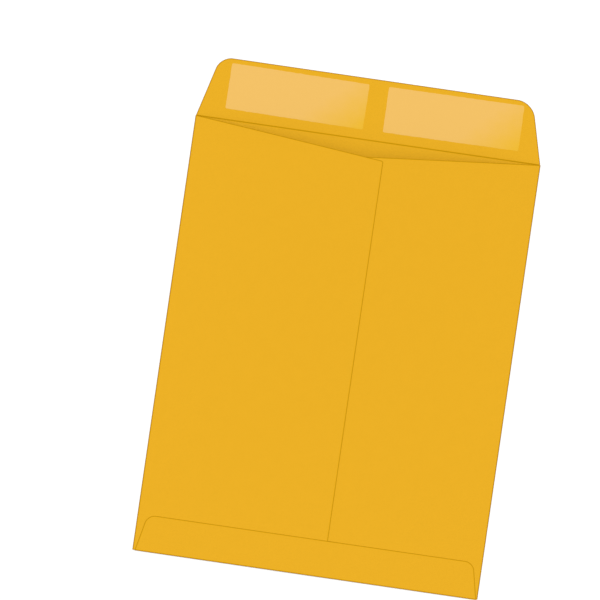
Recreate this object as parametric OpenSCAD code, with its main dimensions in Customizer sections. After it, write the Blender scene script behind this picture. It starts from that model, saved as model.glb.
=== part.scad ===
// Open-end envelope of kraft paper, lying on its front with the seal flap open.
// One die-cut sheet makes all of it: two side panels fold over and lap in a seam down the back,
// the bottom flap folds up over them, and the seal flap lies flat beyond the throat.
// Lengths run along Y from the bottom fold, and widths along X from the centre line.

/* [Envelope] */
// Width from side fold to side fold
envelope_w = 292.1; // [220:0.1:340]
// Height from the bottom fold to the seal flap's score
envelope_h = 368.3; // [280:0.1:420]
// Thickness of the paper
paper_t = 0.15; // [0.1:0.01:0.3]

/* [Pocket] */
// Height by which the back stands off the front at the middle of the throat
pocket_rise = 10; // [0:0.5:16]
// Gap that the side folds keep between front and back
fold_gap = 0.3; // [0.1:0.05:0.8]
// Depth of the V-shaped throat at the centre line
throat_depth = 14.5; // [6:0.1:30]

/* [Back seam] */
// Distance from the centre line to the upper side panel's free edge
seam_offset = 15; // [8:0.5:30]
// Width over which the upper side panel laps the lower one
seam_overlap = 25; // [16:0.5:40]
// Bare border that the seam's glue keeps to every edge of the lap
seam_glue_border = 4; // [2:0.5:6]
// Thickness of the glue films in the seam and under the bottom flap
glue_t = 0.03; // [0.02:0.01:0.08]

/* [Bottom flap] */
// Height of the bottom flap above the bottom fold
bottom_flap_h = 31; // [20:0.1:50]
// Distance from the start of the side folds to the feet of a bottom flap that lies in the middle
bottom_flap_foot_inset = 1.3; // [0.6:0.1:4]
// Distance from the envelope's sides to the corners of a bottom flap that lies in the middle
bottom_flap_corner_inset = 8.1; // [5:0.1:20]
// Distance by which the bottom flap lies to the right of the middle
bottom_flap_shift = 0.45; // [-0.5:0.05:0.5]
// Radius of the bottom flap's corners
bottom_flap_r = 8.5; // [3:0.1:9]
// Width over which the bottom flap comes down beside the seam's free edge
settle_w = 12; // [4:0.5:30]
// Bare border that the bottom flap's glue keeps to the fold and the flap's edges
bottom_glue_border = 4; // [2:0.5:7]

/* [Seal flap] */
// Height of the seal flap above its score
seal_flap_h = 51.5; // [40:0.1:80]
// Distance from the envelope's sides to the seal flap's corners
seal_flap_corner_inset = 13.8; // [6:0.1:24]
// Radius of the seal flap's left corner
seal_flap_left_r = 13.5; // [5:0.1:18]
// Radius of the seal flap's right corner
seal_flap_right_r = 16.5; // [5:0.1:18]
// Width of the valley that the score leaves in the paper's inner face
score_w = 0.8; // [0.4:0.1:1.6]
// Depth of that valley
score_depth = 0.04; // [0.01:0.01:0.08]

/* [Seal gum] */
// Thickness of the dried gum
gum_t = 0.04; // [0.02:0.01:0.1]
// Distance from the left strip's outer end to the seal flap's left corner
gum_left_margin = 10.2; // [6:0.1:30]
// Distance from the right strip's outer end to the seal flap's right corner
gum_right_margin = 6.5; // [6:0.1:30]
// Bare gap between the two gum strips
gum_gap = 16.7; // [8:0.1:40]
// Distance by which the gap between the strips lies to the right of the centre line
gum_shift = 2.8; // [-3:0.1:3]
// Distance from the score to the gum
gum_score_margin = 8.7; // [5:0.1:14]
// Distance from the seal flap's free edge to the gum
gum_edge_margin = 4.5; // [3:0.1:10]
// Angle by which the left strip runs down towards the right
gum_left_tilt = 0.55; // [-0.6:0.05:0.6]
// Angle by which the right strip runs down towards the right
gum_right_tilt = -0.3; // [-0.6:0.05:0.6]

/* [Hidden] */
kraft = [237, 177, 38] / 255;
dried_gum = [245, 194, 102] / 255;
dried_glue = [0.93, 0.90, 0.80];
$fn = 96;

// Facets across a side panel, along it and round a fold
panel_columns = 12;
panel_rows = 12;
fold_facets = 8;

// Layers, from the front panel's outer face up
back_z = paper_t + fold_gap;
ply = paper_t + glue_t;

// Side folds: outer radius, and the centre of their arcs
fold_r = fold_gap / 2 + paper_t;
fold_z = fold_r;
fold_x = envelope_w / 2 - fold_r;

// The seam's lap, with the glue between its inner two stations
seam_left = seam_offset - seam_overlap;
seam_stations = [seam_left, seam_left + seam_glue_border, seam_offset - seam_glue_border, seam_offset];
settled_x = seam_offset + settle_w;

// The bottom fold goes round two lapped panels, and everything else starts where it ends
bottom_fold_r = (back_z + 2 * ply + paper_t) / 2;
bottom_flap_foot = fold_x - bottom_flap_foot_inset;
bottom_flap_feet = [bottom_flap_foot - bottom_flap_shift, bottom_flap_foot + bottom_flap_shift];
bottom_flap_corner = envelope_w / 2 - bottom_flap_corner_inset;

// The throat falls from both side folds, and the last level row of facets ends the seam's glue
throat_slope = throat_depth / fold_x;
throat_low = envelope_h - throat_slope * (fold_x + max(seam_offset, -seam_left));
swell_start = bottom_flap_h + seam_glue_border;
panel_ys = [
    bottom_fold_r,
    for (i = [0 : panel_rows - 1])
        swell_start + (throat_low - seam_glue_border - swell_start) * i / (panel_rows - 1)
];

// Length by which a fold runs on into the flat paper beside it, and a cut past what it cuts
splice = 1;
overrun = 1;

// The seal flap and its gum
seal_flap_corner = envelope_w / 2 - seal_flap_corner_inset;
gum_w = seal_flap_h - gum_score_margin - gum_edge_margin;
gum_y = envelope_h + gum_score_margin + gum_w / 2;

// Share of the extra ply that the upper side panel and the bottom flap lie over: they climb
// evenly from the left fold to the lap, and the flap settles again beyond the seam's free edge.
function lap(x) =
    x < seam_left ? (x + fold_x) / (seam_left + fold_x)
    : x <= seam_offset ? 1
    : max(0, 1 - (x - seam_offset) / settle_w);

// Rise of the back where the pocket stands open: an arch across, growing towards the throat
function swell(x, y) =
    let (up = max(0, (y - swell_start) / (envelope_h - swell_start)))
    pocket_rise * (1 - pow(x / fold_x, 2)) * up * up * (2 - up);

// Undersides of the side panels, where side is -1 for the left one and 1 for the right one
function panel_z(side, x, y) = back_z + (side < 0 ? ply * lap(x) : 0) + swell(x, y);

// Underside of the bottom flap
function bottom_flap_z(x) = back_z + ply + ply * lap(x);

// Place along the envelope of a side panel's row of facets, the last of which is its throat edge
function panel_y(side, x, row) =
    row < len(panel_ys) ? panel_ys[row] : envelope_h - throat_slope * (fold_x - side * x);

// Stations across a side panel, from next to its fold to its free edge
function stations(side) =
    let (
        lap_stations = side < 0 ? seam_stations : reversed(seam_stations),
        start = side * fold_x
    )
    [
        for (i = [1 : panel_columns - 1]) start + (lap_stations[0] - start) * i / panel_columns,
        each lap_stations
    ];

// One face of a side panel with its fold and a strip of the front panel, at a height in the paper
// from 0 inside to paper_t outside
function wing_face(side, height) = [
    for (row = [0 : len(panel_ys)])
        let (
            r = fold_r - paper_t + height,
            fold_y = panel_y(side, side * fold_x, row),
            from_front = [
                [side * (fold_x - splice), fold_y, fold_z - r],
                for (i = [0 : fold_facets])
                    let (a = 180 * i / fold_facets - 90)
                    [side * (fold_x + r * cos(a)), fold_y, fold_z + r * sin(a)],
                for (x = stations(side))
                    let (y = panel_y(side, x, row))
                    [x, y, panel_z(side, x, y) + height]
            ]
        )
        side < 0 ? reversed(from_front) : from_front
];

// One face of the bottom fold, from a strip of the front panel round to a strip of the bottom flap
// that stays inside the flap's leaning sides
function bottom_fold_face(height) = [
    for (x = [-bottom_flap_feet[0], seam_left, seam_offset, settled_x, bottom_flap_feet[1]])
        let (
            low = paper_t - height,
            high = bottom_flap_z(x) + height,
            inner_x = max(splice - bottom_flap_feet[0], min(bottom_flap_feet[1] - splice, x))
        )
        [
            [x, bottom_fold_r + splice, low],
            for (i = [0 : fold_facets])
                let (a = 180 * i / fold_facets - 90)
                [
                    x,
                    bottom_fold_r - (bottom_fold_r - paper_t + height) * cos(a),
                    (low + high) / 2 + (high - low) / 2 * sin(a)
                ],
            [inner_x, bottom_fold_r + splice, bottom_flap_z(inner_x) + height]
        ]
];

function reversed(list) = [for (i = [len(list) - 1 : -1 : 0]) list[i]];

// Solid between an outer and an inner face, each given as rows of points, closed along its edges
module skin(outer, inner) {
    last = len(outer) - 1;
    columns = len(outer[0]);
    far = columns - 1;
    function out(row, i) = row * columns + i;
    function in(row, i) = (last + 1) * columns + out(row, i);
    function quad(a, b, c, d) = [[a, b, c], [a, c, d]];
    polyhedron(
        points = [for (face = [outer, inner], row = face) each row],
        faces = [
            for (j = [0 : last - 1], i = [0 : far - 1]) each concat(
                quad(out(j, i), out(j, i + 1), out(j + 1, i + 1), out(j + 1, i)),
                quad(in(j, i), in(j + 1, i), in(j + 1, i + 1), in(j, i + 1))
            ),
            for (i = [0 : far - 1]) each concat(
                quad(in(0, i), in(0, i + 1), out(0, i + 1), out(0, i)),
                quad(out(last, i), out(last, i + 1), in(last, i + 1), in(last, i))
            ),
            for (j = [0 : last - 1]) each concat(
                quad(out(j, 0), out(j + 1, 0), in(j + 1, 0), in(j, 0)),
                quad(in(j, far), in(j + 1, far), out(j + 1, far), out(j, far))
            )
        ]
    );
}

// Outline of a flap that stands on the line y, with its feet and its corners given as distances
// from its middle, and the radii of its left and its right corner
module flap_outline(y, height, foot, corner, radii) {
    lean = atan((foot - corner) / height);
    hull() {
        for (i = [0, 1]) {
            side = 2 * i - 1;
            r = radii[i];
            translate([side * (foot - (height - r) * tan(lean) - r / cos(lean)), y + height - r])
                circle(r);
        }
        polygon([[-foot, y], [foot, y], [0, y + height / 2]]);
    }
}

// Outline of the bottom flap, brought in by a border on all sides
module bottom_flap_outline(border = 0) {
    translate([bottom_flap_shift, 0])
        offset(delta = -border)
            flap_outline(bottom_fold_r, bottom_flap_h - bottom_fold_r,
                bottom_flap_foot, bottom_flap_corner, [bottom_flap_r, bottom_flap_r]);
}

// Layer of a given thickness that lies over the lapped panels, with the outline of its child;
// its upper face is at a given height above the underside of the bottom flap
module layer_over_panels(top, thickness) {
    xs = [-fold_x, seam_left, seam_offset, settled_x, fold_x];
    intersection() {
        translate([0, bottom_flap_h + overrun, 0])
            rotate([90, 0, 0])
                linear_extrude(bottom_flap_h + overrun)
                    polygon([
                        for (x = xs) [x, bottom_flap_z(x) + top - thickness],
                        for (x = reversed(xs)) [x, bottom_flap_z(x) + top]
                    ]);
        linear_extrude(2 * bottom_fold_r + overrun)
            children();
    }
}

// Moves the envelope so that the middle of its full length is at the origin
module centred() {
    translate([0, -(envelope_h + seal_flap_h) / 2, 0])
        children();
}

// The valley is the shallow segment of a large cylinder
module seal_flap_score() {
    valley_r = (pow(score_w / 2, 2) + pow(score_depth, 2)) / (2 * score_depth);
    translate([0, envelope_h, paper_t - score_depth + valley_r])
        rotate([0, 90, 0])
            cylinder(r = valley_r, h = envelope_w, center = true);
}

module front_and_seal_flap() {
    difference() {
        linear_extrude(paper_t) {
            translate([-fold_x, bottom_fold_r])
                square([2 * fold_x, envelope_h - bottom_fold_r]);
            flap_outline(envelope_h, seal_flap_h,
                fold_x, seal_flap_corner, [seal_flap_left_r, seal_flap_right_r]);
        }
        seal_flap_score();
    }
}

module side_wing(side) {
    skin(wing_face(side, paper_t), wing_face(side, 0));
}

module bottom_fold() {
    skin(bottom_fold_face(paper_t), bottom_fold_face(0));
}

module bottom_flap() {
    layer_over_panels(paper_t, paper_t)
        bottom_flap_outline();
}

module envelope_sheet() {
    color(kraft)
        centred()
            union() {
                front_and_seal_flap();
                side_wing(-1);
                side_wing(1);
                bottom_fold();
                bottom_flap();
            }
}

// The film fills the lap from the lower panel's outer face to the upper panel's inner face
module seam_glue() {
    xs = [seam_stations[2], seam_stations[1]];
    ys = [bottom_fold_r + seam_glue_border, for (i = [1 : len(panel_ys) - 1]) panel_ys[i]];
    color(dried_glue)
        centred()
            skin(
                [for (y = ys) [for (x = xs) [x, y, panel_z(-1, x, y)]]],
                [for (y = ys) [for (x = xs) [x, y, panel_z(1, x, y) + paper_t]]]
            );
}

module bottom_flap_glue() {
    color(dried_glue)
        centred()
            layer_over_panels(0, glue_t)
                bottom_flap_outline(bottom_glue_border);
}

// A strip on the seal flap's inner face, where side is -1 for the left one and 1 for the right one
module seal_gum(side) {
    inner_end = gum_shift + side * gum_gap / 2;
    outer_end = side * (seal_flap_corner - (side < 0 ? gum_left_margin : gum_right_margin));
    color(dried_gum)
        centred()
            translate([(inner_end + outer_end) / 2, gum_y, paper_t])
                rotate(side < 0 ? -gum_left_tilt : -gum_right_tilt)
                    linear_extrude(gum_t)
                        square([abs(outer_end - inner_end), gum_w], center = true);
}

envelope_sheet();
seam_glue();
bottom_flap_glue();
seal_gum(-1);  // seal_gum_left
seal_gum(1);  // seal_gum_right
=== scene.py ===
"""An open-end kraft envelope, back side up, cut as a flat blank and folded in the order of its making."""
import math

import bpy
import numpy as np
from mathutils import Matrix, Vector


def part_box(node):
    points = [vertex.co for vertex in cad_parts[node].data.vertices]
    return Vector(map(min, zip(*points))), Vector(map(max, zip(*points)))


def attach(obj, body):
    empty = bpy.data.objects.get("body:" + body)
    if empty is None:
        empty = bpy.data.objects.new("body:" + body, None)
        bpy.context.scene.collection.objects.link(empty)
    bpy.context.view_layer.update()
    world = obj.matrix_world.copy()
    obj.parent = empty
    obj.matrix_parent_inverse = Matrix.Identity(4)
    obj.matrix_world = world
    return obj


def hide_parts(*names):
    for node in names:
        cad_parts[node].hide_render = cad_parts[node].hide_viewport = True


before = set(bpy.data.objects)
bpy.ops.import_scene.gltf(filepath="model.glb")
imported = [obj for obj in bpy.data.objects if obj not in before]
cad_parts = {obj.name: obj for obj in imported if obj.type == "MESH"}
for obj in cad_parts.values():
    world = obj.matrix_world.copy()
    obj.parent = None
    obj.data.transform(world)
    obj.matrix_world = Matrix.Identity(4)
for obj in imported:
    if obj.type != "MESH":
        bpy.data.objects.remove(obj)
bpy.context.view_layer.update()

MM = 0.001
ALMOST = 0.01 * MM

# Where the sheet lies, from the frame
sheet_low, sheet_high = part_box("envelope_sheet")
SIDE_X = sheet_high.x
BOTTOM_Y = sheet_low.y

# Paper and glue
PAPER_T = 0.15 * MM
GLUE_T = 0.03 * MM
PLY = PAPER_T + GLUE_T

# The pocket and its throat
FOLD_GAP = 0.3 * MM
POCKET_RISE = 10 * MM
WAVE_SHARE = 0.02
WAVE_ACROSS = 150 * MM
WAVE_ALONG = 190 * MM
WAVE_START = 0.7
THROAT_DEPTH = 14.5 * MM

# The back seam
SEAM_X = 15 * MM
SEAM_OVERLAP = 25 * MM
SEAM_GLUE_BORDER = 4 * MM
SEAM_CORNER_R = 1.8 * MM
HIDDEN_EDGE_X = SEAM_X - SEAM_OVERLAP

# The bottom flap and its glue
BOTTOM_FLAP_H = 31 * MM
BOTTOM_FLAP_FOOT_INSET = 1.3 * MM
BOTTOM_FLAP_CORNER_INSET = 8.1 * MM
BOTTOM_FLAP_SHIFT = 0.45 * MM
BOTTOM_FLAP_R = 8.5 * MM
SETTLE_W = 12 * MM
BOTTOM_GLUE_BORDER = 4 * MM
SWELL_START_Y = BOTTOM_Y + BOTTOM_FLAP_H + SEAM_GLUE_BORDER

# The seal flap
SEAL_FLAP_H = 51.5 * MM
SEAL_FLAP_CORNER = SIDE_X - 13.8 * MM
SEAL_FLAP_RADII = {-1: 13.5 * MM, 1: 16.5 * MM}
SCORE_Y = sheet_high.y - SEAL_FLAP_H
SCORE_W = 0.8 * MM
SCORE_DEPTH = 0.04 * MM

# The gum on it, and the angles by which the strips run down towards the right
GUM_TILTS = {"left": math.radians(0.55), "right": math.radians(-0.3)}
GUM_SEEDS = {"left": 3, "right": 8}
GUM_CORNER_R = 1.2 * MM
GUM_RIM = 0.8 * MM
GUM_GRID = 2 * MM
GUM_RAGGED = 0.25 * MM

# Columns of the seam glue's grid, and facets round the corners of the flaps, the seam and the gum
SEAM_GLUE_COLUMNS = 3
FLAP_CORNER_FACETS = 14
SEAM_CORNER_FACETS = 6
GUM_CORNER_FACETS = 5

# Folds, as arcs of the paper's middle layer in short flat facets
FACETS = 8
FRONT_Z = PAPER_T / 2
BACK_Z = PAPER_T + FOLD_GAP
SIDE_FOLD_R = (FOLD_GAP + PAPER_T) / 2
BOTTOM_FOLD_R = (FOLD_GAP + PAPER_T + PLY) / 2
SIDE_FOLD_X = SIDE_X - SIDE_FOLD_R - PAPER_T / 2
BOTTOM_FOLD_Y = BOTTOM_Y + BOTTOM_FOLD_R + PAPER_T / 2

# The bottom flap's feet and corners on either side, its length beyond the fold, and its sides' slope
BOTTOM_FLAP_FOOT = SIDE_FOLD_X - BOTTOM_FLAP_FOOT_INSET
BOTTOM_FLAP_CORNER = SIDE_X - BOTTOM_FLAP_CORNER_INSET
BOTTOM_FLAP_FEET = {side: side * BOTTOM_FLAP_FOOT + BOTTOM_FLAP_SHIFT for side in (-1, 1)}
BOTTOM_FLAP_CORNERS = {side: side * BOTTOM_FLAP_CORNER + BOTTOM_FLAP_SHIFT for side in (-1, 1)}
BOTTOM_FLAP_LENGTH = BOTTOM_FLAP_H - (BOTTOM_FOLD_Y - BOTTOM_Y)
BOTTOM_FLAP_SLOPE = (BOTTOM_FLAP_FOOT - BOTTOM_FLAP_CORNER) / BOTTOM_FLAP_LENGTH

# The fall of the side panels' upper edges towards the middle
THROAT_SLOPE = THROAT_DEPTH / SIDE_FOLD_X


def facet_width(radius):
    return 2 * radius * math.sin(math.pi / 2 / FACETS)


# Where the folded strips end on the flat blank
PANEL_START_X = SIDE_FOLD_X + FACETS * facet_width(SIDE_FOLD_R)
FLAP_START_Y = BOTTOM_FOLD_Y - FACETS * facet_width(BOTTOM_FOLD_R)

# Bands beside cut edges and folds that get painted shade, and the mesh on the side panels
CUT_BAND = 1.0 * MM
CREASE_BAND = 0.9 * MM
GRID = 6 * MM
SMOOTH_ANGLE = math.radians(30)

# Scale of the paper's own map, in metres for a whole unit
MAP_SIZE = 0.7

# Colours of the paper, and the shares of its patterns in its tone and in its relief
KRAFT_LIGHT = (0.937, 0.491, 0.0198, 1)
KRAFT_DARK = (0.742, 0.379, 0.0128, 1)
KRAFT_SPECK = (0.30, 0.13, 0.01, 1)
# The next colour is painted shade, for the dark lines along cut edges and folds
KRAFT_EDGE_SHADE = (0.2, 0.05, 0.0, 1)
KRAFT_BOUNCE = (0.70, 0.66, 0.45, 1)
WITHOUT_BLUE = (1, 1, 0, 1)
KRAFT_TONE = {"clouds": 0.12, "grain": 0.9, "light_fibres": 0.34, "dark_fibres": -0.42}
KRAFT_RELIEF = {"light_fibres": 0.6, "dark_fibres": -0.5, "grain": 0.8}

# Its noises, as scale for a millimetre, detail and roughness; its specks' spacing, rim and strength
KRAFT_CLOUDS = (0.09, 3, 0.55)
KRAFT_GRAIN = (4.5, 3, 0.65)
SPECK_SCALE = 0.12
SPECK_RIM = (0.022, 0.012)
SPECK_STRENGTH = 0.6

# Its finish: relief, roughness between the fibres and on them, and shine
KRAFT_RELIEF_H = 0.015 * MM
KRAFT_RELIEF_STRENGTH = 0.8
KRAFT_ROUGHNESS = (0.72, 0.58)
KRAFT_SHINE = 0.06

# How sharp and how pure the painted shade along cut edges and folds is, and how dark each kind is
EDGE_SHADE_SHARPNESS = 1.6
EDGE_SHADE_PURITY = 6.0
EDGE_SHADE_STRENGTHS = {"flap_edge": 1.0, "side_fold": 0.72, "panel_edge": 0.65, "crease": 0.53}

# Fibres in millimetres, the part of their noise that is a fibre, and their directions in radians
FIBRE_LENGTH = 1.7
FIBRE_WIDTH = 0.09
FIBRE_CURL = 1.1
FIBRE_CURL_SCALE = 0.8
FIBRE_NOISE = (1.0, 1.0, 0.5)
FIBRE_RIDGE = (0.57, 0.72)
LIGHT_FIBRE_TURNS = (0.2, 1.4, 2.5)
DARK_FIBRE_TURNS = (0.8, 2.0)

# How far each direction's pattern is moved aside for a radian, so that no two look the same
FIBRE_SHIFT = (37, 53)

# Colours of the gum under its painted highlight and where that highlight falls off and the gum is bare,
# and the shares of its patterns
GUM_HIGHLIT = (0.885, 0.513, 0.103, 1)
GUM_DULL_AND_BARE = (0.86, 0.478, 0.003, 1)
GUM_FALLOFF_SHARES = {"along": 1.0, "down": 0.37, "clouds": 0.14}
GUM_FALLOFF_ENDS = (0.95, 1.41)
GUM_FALLOFF_AND_BARE = {"highlight_falloff": 1.0, "pits": 0.05, "strands": 0.08}
GUM_RELIEF = {"rolled": 1.0, "pits": -0.1, "strands": 0.2}

# Its noises, as scale for a millimetre, detail and roughness; the roller's stripes; and its finish
GUM_CLOUDS = (0.13, 3, 0.55)
GUM_PITS = (2.6, 1, 0.5)
GUM_PIT_RIM = (0.58, 0.80)
GUM_ROLLED = (1.0, 2, 0.5)
ROLLER_STRIPES = (0.22, 1.5, 1)
GUM_RELIEF_H = 0.02 * MM
GUM_RELIEF_STRENGTH = 0.7
GUM_ROUGH_CLOUDS = (0.3, 0.7)
GUM_ROUGHNESS = (0.31, 0.36)
GUM_SHINE = 0.35

# Dried glue, whose noise has its scale for a metre
GLUE_DARK = (0.80, 0.74, 0.54, 1)
GLUE_LIGHT = (0.88, 0.84, 0.68, 1)
GLUE_CLOUDS = (180.0, 4, 0.6)
GLUE_RELIEF_H = 0.01 * MM
GLUE_RELIEF_STRENGTH = 0.3
GLUE_ROUGHNESS = 0.5

# Room: floor as it is lit and as it is seen, soft light from above and beyond the seal flap, camera
FLOOR_SIZE = 8.0
FLOOR_GAP = 0.03 * MM
FLOOR_LIT = (0.8, 0.8, 0.8, 1)
FLOOR_SEEN = (1.08, 1.08, 1.08, 1)
WORLD_LIGHT = 0.63
LAMP_SPREAD = 40.0
LAMP_HEIGHT_ANGLE = 60.0
LAMP_TURN = -10.0
LAMP_PLACE = (0, 1, 2)
SENSOR = 36.0
CAMERA_HEIGHT = 3.0
VIEW_WIDTH = 0.5029
VIEW_CENTRE_X = -37.15 * MM
VIEW_CENTRE_Y = 17.63 * MM
VIEW_TURN = 8.29


def work_on(piece):
    bpy.ops.object.select_all(action="DESELECT")
    piece.select_set(True)
    bpy.context.view_layer.objects.active = piece


def places(piece):
    flat = np.zeros(3 * len(piece.data.vertices))
    piece.data.vertices.foreach_get("co", flat)
    return flat.reshape(-1, 3)


def pick(piece, chosen):
    """Selects the chosen vertices in edit mode, and what lies wholly between them."""
    bpy.ops.object.mode_set(mode="EDIT")
    bpy.ops.mesh.select_mode(type="VERT")
    bpy.ops.mesh.select_all(action="DESELECT")
    bpy.ops.object.mode_set(mode="OBJECT")
    piece.data.vertices.foreach_set("select", np.asarray(chosen, bool))
    bpy.ops.object.mode_set(mode="EDIT")


def pick_near(piece, x=None, y=None, between=None):
    """Selects the vertices on a line x or y of the flat blank, between two places x if given."""
    at = places(piece)
    chosen = np.ones(len(at), bool)
    if x is not None:
        chosen &= abs(at[:, 0] - x) < ALMOST
    if y is not None:
        chosen &= abs(at[:, 1] - y) < ALMOST
    if between is not None:
        chosen &= (at[:, 0] > min(between) - ALMOST) & (at[:, 0] < max(between) + ALMOST)
    pick(piece, chosen)


def extend(piece, dx=0.0, dy=0.0):
    bpy.ops.mesh.extrude_region_move(TRANSFORM_OT_translate={"value": (dx, dy, 0)})
    bpy.ops.object.mode_set(mode="OBJECT")


def round_corner(piece, corner, lean, radius, facets):
    """Rounds a corner that is a right angle opened by an angle lean."""
    pick_near(piece, x=corner[0], y=corner[1])
    bpy.ops.mesh.bevel(
        affect="VERTICES",
        offset=radius / math.tan((math.pi / 2 + lean) / 2),
        offset_type="OFFSET",
        segments=facets,
        profile=0.5,
        clamp_overlap=False,
    )
    bpy.ops.object.mode_set(mode="OBJECT")


def shape_flap_end(piece, foot, corner, radius):
    """Brings a flap's end corner in from straight above its foot, and rounds it."""
    pick_near(piece, x=foot[0], y=corner[1])
    bpy.ops.transform.translate(value=(corner[0] - foot[0], 0, 0))
    bpy.ops.object.mode_set(mode="OBJECT")
    lean = math.atan(abs((foot[0] - corner[0]) / (foot[1] - corner[1])))
    round_corner(piece, corner, lean, radius, FLAP_CORNER_FACETS)


def bisect_along(direction, positions):
    """Cuts everything that is selected along lines of the flat blank."""
    axis = (1, 0, 0) if direction == "x" else (0, 1, 0)
    for position in positions:
        bpy.ops.mesh.select_all(action="SELECT")
        bpy.ops.mesh.bisect(
            plane_co=[position * part for part in axis], plane_no=axis, threshold=ALMOST / 10
        )


def flat_plane(centre, width, height):
    """A flat rectangle at its place."""
    bpy.ops.object.select_all(action="DESELECT")
    bpy.ops.mesh.primitive_plane_add(size=1, location=centre)
    plane = bpy.context.object
    plane.scale = (width, height, 1)
    bpy.ops.object.transform_apply(location=True, rotation=True, scale=True)
    return plane


def add_side_panels(sheet):
    """Adds the side panels, whose upper edges fall from the folds to make the throat."""
    upper_panel_w = SIDE_FOLD_X + SEAM_X
    lower_panel_w = SIDE_FOLD_X - HIDDEN_EDGE_X
    for side, length in ((-1, upper_panel_w), (1, lower_panel_w)):
        pick_near(sheet, x=side * SIDE_FOLD_X)
        extend(sheet, dx=side * (PANEL_START_X - SIDE_FOLD_X))
        pick_near(sheet, x=side * PANEL_START_X)
        extend(sheet, dx=side * length)
        pick_near(sheet, x=side * (PANEL_START_X + length), y=SCORE_Y)
        bpy.ops.transform.translate(value=(0, -THROAT_SLOPE * length, 0))
        bpy.ops.object.mode_set(mode="OBJECT")
    seam_corner = (-PANEL_START_X - upper_panel_w, SCORE_Y - THROAT_SLOPE * upper_panel_w)
    round_corner(sheet, seam_corner, math.atan(THROAT_SLOPE), SEAM_CORNER_R, SEAM_CORNER_FACETS)


def add_seal_flap(sheet):
    pick_near(sheet, y=SCORE_Y, between=(-SIDE_FOLD_X, SIDE_FOLD_X))
    extend(sheet, dy=SEAL_FLAP_H)
    for side, radius in SEAL_FLAP_RADII.items():
        corner = (side * SEAL_FLAP_CORNER, SCORE_Y + SEAL_FLAP_H)
        shape_flap_end(sheet, (side * SIDE_FOLD_X, SCORE_Y), corner, radius)


def add_bottom_flap(sheet):
    """Adds the bottom flap, on feet a little inside the front panel's folds."""
    bpy.ops.object.mode_set(mode="EDIT")
    bisect_along("x", BOTTOM_FLAP_FEET.values())
    bpy.ops.object.mode_set(mode="OBJECT")
    pick_near(sheet, y=BOTTOM_FOLD_Y, between=BOTTOM_FLAP_FEET.values())
    extend(sheet, dy=FLAP_START_Y - BOTTOM_FOLD_Y)
    pick_near(sheet, y=FLAP_START_Y)
    extend(sheet, dy=-BOTTOM_FLAP_LENGTH)
    for side in (-1, 1):
        corner = (BOTTOM_FLAP_CORNERS[side], FLAP_START_Y - BOTTOM_FLAP_LENGTH)
        shape_flap_end(sheet, (BOTTOM_FLAP_FEET[side], FLAP_START_Y), corner, BOTTOM_FLAP_R)


def cut_blank():
    """The flat blank: front panel, two side panels, seal flap and bottom flap, as one face."""
    front_h = SCORE_Y - BOTTOM_FOLD_Y
    sheet = flat_plane((0, BOTTOM_FOLD_Y + front_h / 2, FRONT_Z), 2 * SIDE_FOLD_X, front_h)
    add_side_panels(sheet)
    add_seal_flap(sheet)
    add_bottom_flap(sheet)
    bpy.ops.object.mode_set(mode="EDIT")
    bpy.ops.mesh.select_all(action="SELECT")
    bpy.ops.mesh.dissolve_faces()
    bpy.ops.object.mode_set(mode="OBJECT")
    return sheet


def outline_of(piece):
    """The two ends of each edge round the flat blank."""
    at = places(piece)[:, :2]
    ends = np.array([edge.vertices[:] for edge in piece.data.edges])
    return at[ends[:, 0]], at[ends[:, 1]]


def distance_to(outline, at):
    """How far each place on the flat blank is from the nearest edge of its outline."""
    start, end = outline
    nearest = np.full(len(at), np.inf)
    for a, b in zip(start, end):
        along = np.clip((at - a) @ (b - a) / ((b - a) @ (b - a)), 0, 1)
        nearest = np.minimum(nearest, np.linalg.norm(at - a - along[:, None] * (b - a), axis=1))
    return nearest


def score_and_grid(sheet):
    """Adds the border band, the lines of the folds and the grid that lets the panels bend."""
    bpy.ops.object.mode_set(mode="EDIT")
    bpy.ops.mesh.select_all(action="SELECT")
    bpy.ops.mesh.inset(thickness=CUT_BAND, depth=0, use_boundary=True, use_even_offset=True)
    step_x, step_y = facet_width(SIDE_FOLD_R), facet_width(BOTTOM_FOLD_R)
    fold_xs = [SIDE_FOLD_X + i * step_x for i in range(FACETS + 1)]
    columns = int(SIDE_FOLD_X / GRID)
    panel_xs = [PANEL_START_X + SIDE_FOLD_X - i * GRID for i in range(-columns, columns + 1)]
    xs = [SIDE_FOLD_X - CREASE_BAND] + fold_xs + [PANEL_START_X + CREASE_BAND] + [
        x for x in panel_xs if PANEL_START_X + 2 * CREASE_BAND < x < PANEL_START_X + 2 * SIDE_FOLD_X
    ]
    bisect_along("x", [-x for x in xs] + xs + [HIDDEN_EDGE_X, SEAM_X, SEAM_X + SETTLE_W])
    fold_ys = [BOTTOM_FOLD_Y - i * step_y for i in range(FACETS + 1)]
    rows = round((SCORE_Y - SWELL_START_Y) / GRID)
    grid_ys = [SWELL_START_Y + (SCORE_Y - SWELL_START_Y) * i / rows for i in range(rows)]
    bisect_along("y", fold_ys + [BOTTOM_FOLD_Y + CREASE_BAND, FLAP_START_Y - CREASE_BAND] + grid_ys)
    beside = (CREASE_BAND, SCORE_W / 2)
    bisect_along("y", [SCORE_Y - d for d in beside] + [SCORE_Y] + [SCORE_Y + d for d in beside])
    bpy.ops.object.mode_set(mode="OBJECT")


def lay_map(piece, name, places_on_map):
    """Stores the place on a flat map of each corner of each face."""
    corners = np.zeros(len(piece.data.loops), int)
    piece.data.loops.foreach_get("vertex_index", corners)
    layer = piece.data.uv_layers.new(name=name)
    layer.data.foreach_set("uv", places_on_map[corners].ravel())


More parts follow.
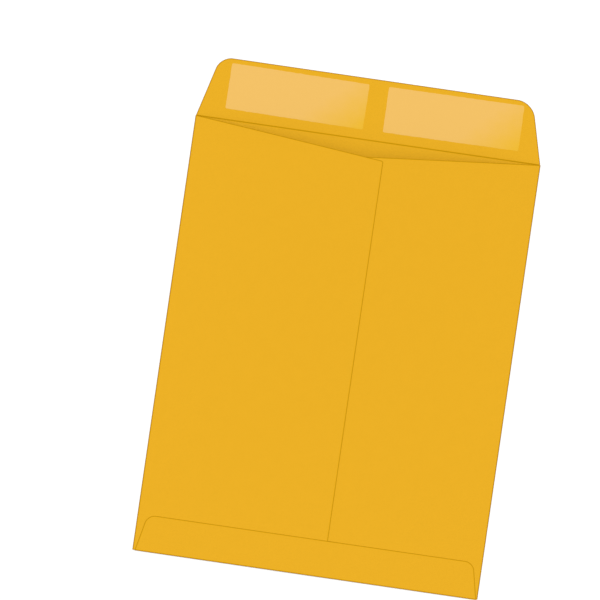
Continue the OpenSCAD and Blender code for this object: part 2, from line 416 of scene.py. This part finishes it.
def mark_lines(sheet, outline):
    """Stores how near each point is to a cut edge and to a fold, for the painted shade along them."""
    at = places(sheet)[:, :2]
    x, y = abs(at[:, 0]), at[:, 1]
    on_seal_flap = y > SCORE_Y + ALMOST
    from_edge = distance_to(outline, at)
    from_side = np.maximum(SIDE_FOLD_X - x, x - PANEL_START_X)
    from_side[on_seal_flap] = np.inf
    from_bottom = np.maximum(y - BOTTOM_FOLD_Y, FLAP_START_Y - y)
    off_flap = (at[:, 0] < BOTTOM_FLAP_FEET[-1] - ALMOST) | (at[:, 0] > BOTTOM_FLAP_FEET[1] + ALMOST)
    from_bottom[off_flap] = np.inf
    from_score = abs(y - SCORE_Y)
    from_score[x > SIDE_FOLD_X + ALMOST] = np.inf
    nearness = {
        "flap_edge": 1 - np.where(on_seal_flap, from_edge, np.inf) / CUT_BAND,
        "side_fold": 1 - from_side / CREASE_BAND,
        "panel_edge": 1 - np.where(on_seal_flap, np.inf, from_edge) / CUT_BAND,
        "crease": 1 - np.minimum(from_bottom, from_score) / CREASE_BAND,
    }
    for name, share in nearness.items():
        layer = sheet.data.attributes.new(name, "FLOAT", "POINT")
        layer.data.foreach_set("value", np.clip(share, 0, 1))


def bend_up(sheet, beyond, axis, hinge, angle):
    """Turns what is chosen about a hinge line. Without a window the operator turns left-handed."""
    pick(sheet, beyond)
    bpy.ops.transform.rotate(value=angle, orient_axis=axis, center_override=hinge)
    bpy.ops.object.mode_set(mode="OBJECT")


def hinges(radius):
    """For each hinge of a fold: its way along the blank, out and up round the arc, and its turn."""
    for step in range(FACETS + 1):
        done = math.pi * step / FACETS
        turn = math.pi / FACETS / (2 if step in (0, FACETS) else 1)
        yield step * facet_width(radius), radius * math.sin(done), radius * (1 - math.cos(done)), turn


def fold(sheet, flat):
    """Folds both side panels over and then the bottom flap, a facet at a time."""
    for along, out, up, turn in hinges(SIDE_FOLD_R):
        for side in (-1, 1):
            hinge = (side * (SIDE_FOLD_X + out), 0, FRONT_Z + up)
            bend_up(sheet, side * flat[:, 0] > SIDE_FOLD_X + along + ALMOST, "Y", hinge, side * turn)
    for along, out, up, turn in hinges(BOTTOM_FOLD_R):
        hinge = (0, BOTTOM_FOLD_Y - out, FRONT_Z + up)
        bend_up(sheet, flat[:, 1] < BOTTOM_FOLD_Y - along - ALMOST, "X", hinge, turn)


def lap_share(x):
    """Share of the extra ply under the upper side panel and the bottom flap."""
    climb = (x + SIDE_FOLD_X) / (HIDDEN_EDGE_X + SIDE_FOLD_X)
    settle = 1 - (x - SEAM_X) / SETTLE_W
    return np.clip(np.minimum(climb, settle), 0, 1)


def pocket_share(x, y):
    """Share of the pocket's rise: an arch across that grows towards the throat, faintly wavy."""
    up = np.clip((y - SWELL_START_Y) / (SCORE_Y - SWELL_START_Y), 0, 1)
    arch = (1 - (x / SIDE_FOLD_X) ** 2) * up ** 2 * (2 - up)
    wave = np.sin(2 * math.pi * x / WAVE_ACROSS + WAVE_START) * np.cos(2 * math.pi * y / WAVE_ALONG)
    return arch * (1 + WAVE_SHARE * wave)


def raise_by(sheet, name, share, height):
    """Lifts the points by a share of a height, as a displacement that is then applied."""
    most = share.max()
    group = sheet.vertex_groups.new(name=name)
    for index in np.flatnonzero(share > 0):
        group.add([int(index)], float(share[index] / most), "REPLACE")
    lift = sheet.modifiers.new(name, "DISPLACE")
    lift.vertex_group = name
    lift.direction = "Z"
    lift.mid_level = 0
    lift.strength = height * most
    work_on(sheet)
    bpy.ops.object.modifier_apply(modifier=name)
    sheet.vertex_groups.remove(sheet.vertex_groups[name])


def settle_layers(sheet, flat):
    """Lets the plies lie over each other in the lap and under the bottom flap, and opens the pocket."""
    at = places(sheet)
    lap = np.zeros(len(at))
    left_panel = flat[:, 0] < -PANEL_START_X - ALMOST
    lap[left_panel] = np.minimum(1, lap_share(np.minimum(at[left_panel, 0], SEAM_X)))
    bottom = flat[:, 1] < BOTTOM_FOLD_Y - ALMOST
    height = (at[bottom, 2] - FRONT_Z) / (2 * BOTTOM_FOLD_R)
    lap[bottom] = lap_share(at[bottom, 0]) * np.clip(height, 0, 1)
    raise_by(sheet, "lap", lap, PLY)
    pocket = pocket_share(at[:, 0], at[:, 1])
    pocket[abs(flat[:, 0]) < PANEL_START_X + ALMOST] = 0
    raise_by(sheet, "pocket", pocket, POCKET_RISE)


def thicken(piece, thickness):
    wall = piece.modifiers.new("thickness", "SOLIDIFY")
    wall.thickness = thickness
    wall.offset = 0
    wall.use_even_offset = True
    work_on(piece)
    bpy.ops.object.modifier_apply(modifier=wall.name)
    bpy.ops.object.shade_smooth_by_angle(angle=SMOOTH_ANGLE)


def press_score(sheet):
    """Sinks the seal flap's score into the paper's inner face."""
    at = places(sheet)
    inner_line = (abs(at[:, 1] - SCORE_Y) < ALMOST) & (at[:, 2] > FRONT_Z)
    pick(sheet, inner_line & (abs(at[:, 0]) < SIDE_FOLD_X + ALMOST) & (at[:, 2] < PAPER_T + ALMOST))
    bpy.ops.transform.translate(value=(0, 0, -SCORE_DEPTH))
    bpy.ops.object.mode_set(mode="OBJECT")


def finish_piece(piece, name, node, material):
    piece.name = name
    piece.data.name = name
    piece.data.materials.clear()
    piece.data.materials.append(material)
    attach(piece, "root")
    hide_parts(node)


def make_sheet():
    sheet = cut_blank()
    outline = outline_of(sheet)
    score_and_grid(sheet)
    mark_lines(sheet, outline)
    flat = places(sheet)
    lay_map(sheet, "blank", flat[:, :2] / MAP_SIZE + 0.5)
    fold(sheet, flat)
    settle_layers(sheet, flat)
    thicken(sheet, PAPER_T)
    press_score(sheet)
    return sheet


def turned_back(spread_x, spread_y, tilt):
    """Length and width of a strip, from the box that it fills when it is turned by a small angle."""
    turn, lean = math.cos(tilt), abs(math.sin(tilt))
    length = (spread_x * turn - spread_y * lean) / (turn ** 2 - lean ** 2)
    width = (spread_y * turn - spread_x * lean) / (turn ** 2 - lean ** 2)
    return length, width


def grid_gum(gum, centre, length, width):
    """Rounds the strip's corners, and adds a rim and a grid."""
    bpy.ops.object.mode_set(mode="EDIT")
    bpy.ops.mesh.select_all(action="SELECT")
    bpy.ops.mesh.bevel(affect="VERTICES", offset=GUM_CORNER_R, segments=GUM_CORNER_FACETS, profile=0.5)
    bpy.ops.mesh.select_all(action="SELECT")
    bpy.ops.mesh.inset(thickness=GUM_RIM, depth=0, use_boundary=True, use_even_offset=True)
    columns, rows = round(length / GUM_GRID), round(width / GUM_GRID)
    bisect_along("x", [centre[0] + length * (i / columns - 0.5) for i in range(1, columns)])
    bisect_along("y", [centre[1] + width * (i / rows - 0.5) for i in range(1, rows)])
    bpy.ops.object.mode_set(mode="OBJECT")


def rag_outline(gum, centre, seed):
    """Makes the outline slightly ragged, as the gum roller leaves it."""
    work_on(gum)
    bpy.ops.object.mode_set(mode="EDIT")
    bpy.ops.mesh.select_all(action="SELECT")
    bpy.ops.mesh.region_to_loop()
    bpy.ops.transform.vertex_random(offset=GUM_RAGGED, uniform=0.0, normal=0.0, seed=seed)
    bpy.ops.transform.resize(value=(1, 1, 0), center_override=centre)
    bpy.ops.object.mode_set(mode="OBJECT")


def make_gum(side):
    """A strip of dried gum on the seal flap: a film with small round corners and a ragged outline."""
    low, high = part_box("seal_gum_" + side)
    centre = ((low.x + high.x) / 2, (low.y + high.y) / 2, (low.z + high.z) / 2)
    length, width = turned_back(high.x - low.x, high.y - low.y, GUM_TILTS[side])
    gum = flat_plane(centre, length, width)
    grid_gum(gum, centre, length, width)
    rag_outline(gum, centre, GUM_SEEDS[side])
    lay_map(gum, "strip", (places(gum)[:, :2] - centre[:2]) / (length, width) + 0.5)

    work_on(gum)
    bpy.ops.object.mode_set(mode="EDIT")
    bpy.ops.mesh.select_all(action="SELECT")
    bpy.ops.transform.rotate(value=GUM_TILTS[side], orient_axis="Z", center_override=centre)
    bpy.ops.object.mode_set(mode="OBJECT")
    thicken(gum, high.z - low.z)
    return gum


def make_seam_glue():
    """The glue film in the lap, which follows the arch of the back."""
    low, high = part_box("seam_glue")
    width, height = high.x - low.x, high.y - low.y
    centre = ((low.x + high.x) / 2, (low.y + high.y) / 2, BACK_Z + PAPER_T + GLUE_T / 2)
    film = flat_plane(centre, width, height)
    bpy.ops.object.mode_set(mode="EDIT")
    rows = round(height / GRID)
    bisect_along("y", [low.y + height * i / rows for i in range(1, rows)])
    bisect_along("x", [low.x + width * i / SEAM_GLUE_COLUMNS for i in range(1, SEAM_GLUE_COLUMNS)])
    bpy.ops.object.mode_set(mode="OBJECT")
    at = places(film)
    raise_by(film, "pocket", pocket_share(at[:, 0], at[:, 1]), POCKET_RISE)
    thicken(film, GLUE_T)
    return film


def make_bottom_glue():
    """The glue film under the bottom flap, which climbs over the lap as the flap does."""
    low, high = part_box("bottom_flap_glue")
    width, height = high.x - low.x, high.y - low.y
    centre = ((low.x + high.x) / 2, (low.y + high.y) / 2, BACK_Z + PLY - GLUE_T / 2)
    film = flat_plane(centre, width, height)
    for side, foot_x in ((-1, low.x), (1, high.x)):
        corner = (foot_x - side * BOTTOM_FLAP_SLOPE * height, high.y)
        shape_flap_end(film, (foot_x, low.y), corner, BOTTOM_FLAP_R - BOTTOM_GLUE_BORDER)
    bpy.ops.object.mode_set(mode="EDIT")
    bisect_along("x", [HIDDEN_EDGE_X, SEAM_X, SEAM_X + SETTLE_W])
    bpy.ops.object.mode_set(mode="OBJECT")
    raise_by(film, "lap", lap_share(places(film)[:, 0]), PLY)
    thicken(film, GLUE_T)
    return film


def put(tree, kind, inputs=(), **settings):
    """Adds a node with its settings. An input is a value, or a socket to link from."""
    node = tree.nodes.new("ShaderNode" + kind)
    for name, value in settings.items():
        setattr(node, name, value)
    for name, value in dict(inputs).items():
        if isinstance(value, bpy.types.NodeSocket):
            tree.links.new(value, node.inputs[name])
        else:
            node.inputs[name].default_value = value
    return node


def maths(tree, operation, first, second=0.0, clamp=False):
    return put(tree, "Math", {0: first, 1: second}, operation=operation, use_clamp=clamp).outputs[0]


def noise(tree, place, pattern):
    """Noise from 0 to 1 over a place, of a scale, a detail and a roughness."""
    scale, detail, roughness = pattern
    inputs = {"Vector": place, "Scale": scale, "Detail": detail, "Roughness": roughness}
    return put(tree, "TexNoise", inputs).outputs["Fac"]


def mapped(tree, value, ends, new_ends=(0.0, 1.0)):
    """Brings a value from between two ends to between two new ones."""
    inputs = {
        "Value": value,
        "From Min": ends[0],
        "From Max": ends[1],
        "To Min": new_ends[0],
        "To Max": new_ends[1],
    }
    return put(tree, "MapRange", inputs).outputs["Result"]


def mixed(tree, share, first, second, blend="MIX"):
    """Mixes two colours by a share."""
    inputs = {0: share, 6: first, 7: second}
    return put(tree, "Mix", inputs, data_type="RGBA", blend_type=blend).outputs[2]


def placed(tree, vector, scale, turn=0.0, shift=(0, 0, 0)):
    inputs = {"Vector": vector, "Scale": scale, "Rotation": (0, 0, turn), "Location": shift}
    return put(tree, "Mapping", inputs).outputs["Vector"]


def new_material(name):
    material = bpy.data.materials.new(name)
    material.use_nodes = True
    return material, material.node_tree, material.node_tree.nodes["Principled BSDF"]


def fibres(tree, paper_mm, turns):
    """Short curled fibres that lie in the given directions, as ridges from 0 to 1."""
    inputs = {"Vector": paper_mm, "Scale": FIBRE_CURL_SCALE, "Detail": 1.0}
    curl = put(tree, "TexNoise", inputs).outputs["Color"]
    curl = put(tree, "VectorMath", {0: curl, 1: (0.5, 0.5, 0.5)}, operation="SUBTRACT").outputs[0]
    inputs = {0: curl, 1: (FIBRE_CURL, FIBRE_CURL, 0), 2: paper_mm}
    curled = put(tree, "VectorMath", inputs, operation="MULTIPLY_ADD").outputs[0]
    most = None
    for turn in turns:
        turned = placed(tree, curled, (1, 1, 1), turn)
        shift = (FIBRE_SHIFT[0] * turn, FIBRE_SHIFT[1] * turn, 0)
        stretched = placed(tree, turned, (1 / FIBRE_LENGTH, 1 / FIBRE_WIDTH, 1), shift=shift)
        layer = mapped(tree, noise(tree, stretched, FIBRE_NOISE), FIBRE_RIDGE)
        most = layer if most is None else maths(tree, "MAXIMUM", most, layer)
    return most


def summed(tree, marks, shares):
    """Sum of the marks that have a share, each times its share."""
    total = 0.0
    for name, share in shares.items():
        inputs = {0: marks[name], 1: share, 2: total}
        total = put(tree, "Math", inputs, operation="MULTIPLY_ADD").outputs[0]
    return total


def emboss(tree, surface, relief, strength, height):
    bump = put(tree, "Bump", {"Height": relief, "Strength": strength, "Distance": height})
    tree.links.new(bump.outputs["Normal"], surface.inputs["Normal"])


def painted_edge_shade(tree):
    """How far each place lies in a cut edge or a fold, from 0 to 1, as the share of painted shade it
    gets.
    """
    line = 0.0
    for name, strength in EDGE_SHADE_STRENGTHS.items():
        near = put(tree, "Attribute", attribute_name=name).outputs["Fac"]
        near = maths(tree, "MULTIPLY", maths(tree, "POWER", near, EDGE_SHADE_SHARPNESS), strength)
        line = maths(tree, "MAXIMUM", near, line)
    return line


def kraft_paper():
    """Golden kraft: fine fibres, faint clouds and a few specks, with painted shade along its cut edges
    and folds.
    """
    material, tree, surface = new_material("kraft_paper")
    blank = put(tree, "UVMap", uv_map="blank").outputs["UV"]
    paper_mm = placed(tree, blank, (MAP_SIZE / MM, MAP_SIZE / MM, 1))
    marks = {
        "clouds": noise(tree, paper_mm, KRAFT_CLOUDS),
        "grain": noise(tree, paper_mm, KRAFT_GRAIN),
        "light_fibres": fibres(tree, paper_mm, LIGHT_FIBRE_TURNS),
        "dark_fibres": fibres(tree, paper_mm, DARK_FIBRE_TURNS),
    }
    plain = mixed(tree, summed(tree, marks, KRAFT_TONE), KRAFT_DARK, KRAFT_LIGHT)
    cells = put(tree, "TexVoronoi", {"Vector": paper_mm, "Scale": SPECK_SCALE}).outputs["Distance"]
    plain = mixed(tree, mapped(tree, cells, SPECK_RIM, (0, SPECK_STRENGTH)), plain, KRAFT_SPECK)

    # The painted shade along cut edges and folds is a purer gold as well as darker
    line = painted_edge_shade(tree)
    pure = maths(tree, "MULTIPLY", line, EDGE_SHADE_PURITY, clamp=True)
    colour = mixed(tree, pure, plain, WITHOUT_BLUE, "MULTIPLY")
    colour = mixed(tree, line, colour, KRAFT_EDGE_SHADE)

    # Light that goes from face to face in the mouth is greyer, so that its shade keeps the paper's hue
    bounced = put(tree, "LightPath").outputs["Is Diffuse Ray"]
    tree.links.new(mixed(tree, bounced, colour, KRAFT_BOUNCE), surface.inputs["Base Color"])

    emboss(tree, surface, summed(tree, marks, KRAFT_RELIEF), KRAFT_RELIEF_STRENGTH, KRAFT_RELIEF_H)
    roughness = mapped(tree, marks["light_fibres"], (0, 1), KRAFT_ROUGHNESS)
    tree.links.new(roughness, surface.inputs["Roughness"])
    surface.inputs["Specular IOR Level"].default_value = KRAFT_SHINE
    return material


def dried_gum():
    """Dried gum, a fine semi-gloss film with a painted highlight that falls off towards its lower right
    corner.
    """
    material, tree, surface = new_material("dried_gum")
    strip = put(tree, "UVMap", uv_map="strip").outputs["UV"]
    on_strip = put(tree, "SeparateXYZ", {"Vector": strip})
    gum_mm = placed(tree, put(tree, "TexCoord").outputs["Object"], (1 / MM, 1 / MM, 1 / MM))
    marks = {
        "along": on_strip.outputs["X"],
        "down": maths(tree, "SUBTRACT", 1.0, on_strip.outputs["Y"]),
        "clouds": noise(tree, gum_mm, GUM_CLOUDS),
        "pits": mapped(tree, noise(tree, gum_mm, GUM_PITS), GUM_PIT_RIM),
        "strands": fibres(tree, gum_mm, DARK_FIBRE_TURNS),
        "rolled": noise(tree, placed(tree, gum_mm, ROLLER_STRIPES), GUM_ROLLED),
    }
    # Painted highlight: the gum is paler over most of the strip and falls off to gold towards its lower
    # right corner, and pits and strands let the gold show
    marks["highlight_falloff"] = mapped(tree, summed(tree, marks, GUM_FALLOFF_SHARES), GUM_FALLOFF_ENDS)
    colour = mixed(tree, summed(tree, marks, GUM_FALLOFF_AND_BARE), GUM_HIGHLIT, GUM_DULL_AND_BARE)
    tree.links.new(colour, surface.inputs["Base Color"])

    emboss(tree, surface, summed(tree, marks, GUM_RELIEF), GUM_RELIEF_STRENGTH, GUM_RELIEF_H)
    roughness = mapped(tree, marks["clouds"], GUM_ROUGH_CLOUDS, GUM_ROUGHNESS)
    tree.links.new(roughness, surface.inputs["Roughness"])
    surface.inputs["Specular IOR Level"].default_value = GUM_SHINE
    return material


def dried_glue():
    """Dried white glue, a little yellow and cloudy."""
    material, tree, surface = new_material("dried_glue")
    clouds = noise(tree, put(tree, "TexCoord").outputs["Object"], GLUE_CLOUDS)
    tree.links.new(mixed(tree, clouds, GLUE_DARK, GLUE_LIGHT), surface.inputs["Base Color"])
    emboss(tree, surface, clouds, GLUE_RELIEF_STRENGTH, GLUE_RELIEF_H)
    surface.inputs["Roughness"].default_value = GLUE_ROUGHNESS
    return material


def seen_directly(tree):
    """1 for rays of the camera and of mirror-like or clear surfaces, otherwise 0."""
    path = put(tree, "LightPath")
    seen = maths(tree, "MAXIMUM", path.outputs["Is Camera Ray"], path.outputs["Is Glossy Ray"])
    return maths(tree, "MAXIMUM", seen, path.outputs["Is Transmission Ray"])


def lay_floor():
    bpy.ops.object.select_all(action="DESELECT")
    bpy.ops.mesh.primitive_plane_add(size=FLOOR_SIZE, location=(0, 0, -FLOOR_GAP))
    floor = bpy.context.object
    floor.name = "floor"
    material, tree, surface = new_material("pale_floor")
    colour = mixed(tree, seen_directly(tree), FLOOR_LIT, FLOOR_SEEN)
    tree.links.new(colour, surface.inputs["Base Color"])
    surface.inputs["Roughness"].default_value = 1.0
    surface.inputs["Specular IOR Level"].default_value = 0.0
    floor.data.materials.append(material)


def light_room():
    world = bpy.data.worlds.new("studio")
    world.use_nodes = True
    tree = world.node_tree
    strength = mapped(tree, seen_directly(tree), (0, 1), (WORLD_LIGHT, 1.0))
    tree.links.new(strength, tree.nodes["Background"].inputs["Strength"])
    tree.nodes["Background"].inputs["Color"].default_value = (1, 1, 1, 1)
    bpy.context.scene.world = world

    height = math.radians(LAMP_HEIGHT_ANGLE)
    far_light = bpy.data.lights.new("far_light", "SUN")
    far_light.angle = math.radians(LAMP_SPREAD)
    far_light.energy = (1 - WORLD_LIGHT) * math.pi / math.sin(height)
    lamp = bpy.data.objects.new("far_light", far_light)
    bpy.context.scene.collection.objects.link(lamp)
    lamp.location = LAMP_PLACE
    lamp.rotation_euler = (height - math.pi / 2, 0, -math.radians(LAMP_TURN))


def set_camera():
    """Looks straight down, turned so that the envelope leans to the right as it lies."""
    scene = bpy.context.scene
    lens = bpy.data.cameras.new("camera")
    lens.sensor_width = SENSOR
    lens.lens = SENSOR * CAMERA_HEIGHT / VIEW_WIDTH
    camera = bpy.data.objects.new("camera", lens)
    scene.collection.objects.link(camera)
    camera.location = (VIEW_CENTRE_X, VIEW_CENTRE_Y, CAMERA_HEIGHT)
    camera.rotation_euler = (0, 0, math.radians(VIEW_TURN))
    scene.camera = camera
    scene.view_settings.view_transform = "Standard"


set_camera()
light_room()
lay_floor()
gum_material = dried_gum()
glue_material = dried_glue()
finish_piece(make_sheet(), "kraft_sheet", "envelope_sheet", kraft_paper())
for side in ("left", "right"):
    finish_piece(make_gum(side), "gum_strip_" + side, "seal_gum_" + side, gum_material)
finish_piece(make_seam_glue(), "seam_glue_film", "seam_glue", glue_material)
finish_piece(make_bottom_glue(), "bottom_glue_film", "bottom_flap_glue", glue_material)
